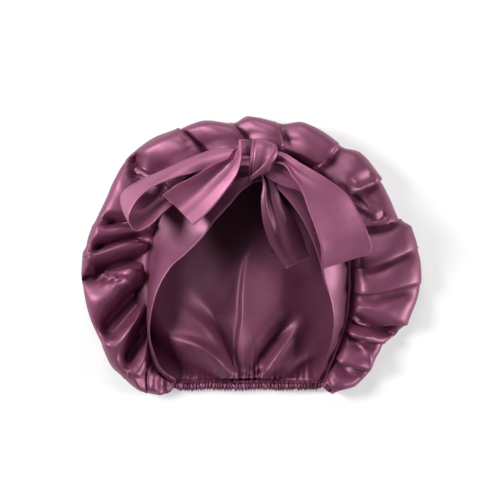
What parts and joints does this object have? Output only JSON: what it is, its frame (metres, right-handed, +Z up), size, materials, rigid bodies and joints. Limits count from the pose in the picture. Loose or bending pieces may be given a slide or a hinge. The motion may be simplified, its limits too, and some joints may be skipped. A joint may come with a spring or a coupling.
{
  "type": "sleep bonnet",
  "caption": "Satin sleep bonnet lying on its crown: pleated puffed crown, wide face band tied in a bow, and a ruched elastic at the nape.",
  "frame": {"origin": "on the floor under the middle of the bonnet, which lies on the back of its crown", "axes": "+Z up out of the head opening, +Y towards the forehead and its bow, -Y towards the nape elastic, +X to the right seen from above"},
  "size_m": [0.327, 0.2694, 0.0736],
  "materials": {
    "satin_crown": "plum satin",
    "satin_band": "plum satin, doubled",
    "satin_elastic": "plum satin, ruched over elastic",
    "satin_bow": "plum satin ribbon"
  },
  "bodies": {
    "root": {"crown": "satin_crown", "front_band": "satin_band", "nape_elastic": "satin_elastic", "bow_knot": "satin_bow", "bow_loop_left": "satin_bow", "bow_loop_right": "satin_bow", "bow_tail_left": "satin_bow", "bow_tail_right": "satin_bow"}
  },
  "joints": []
}
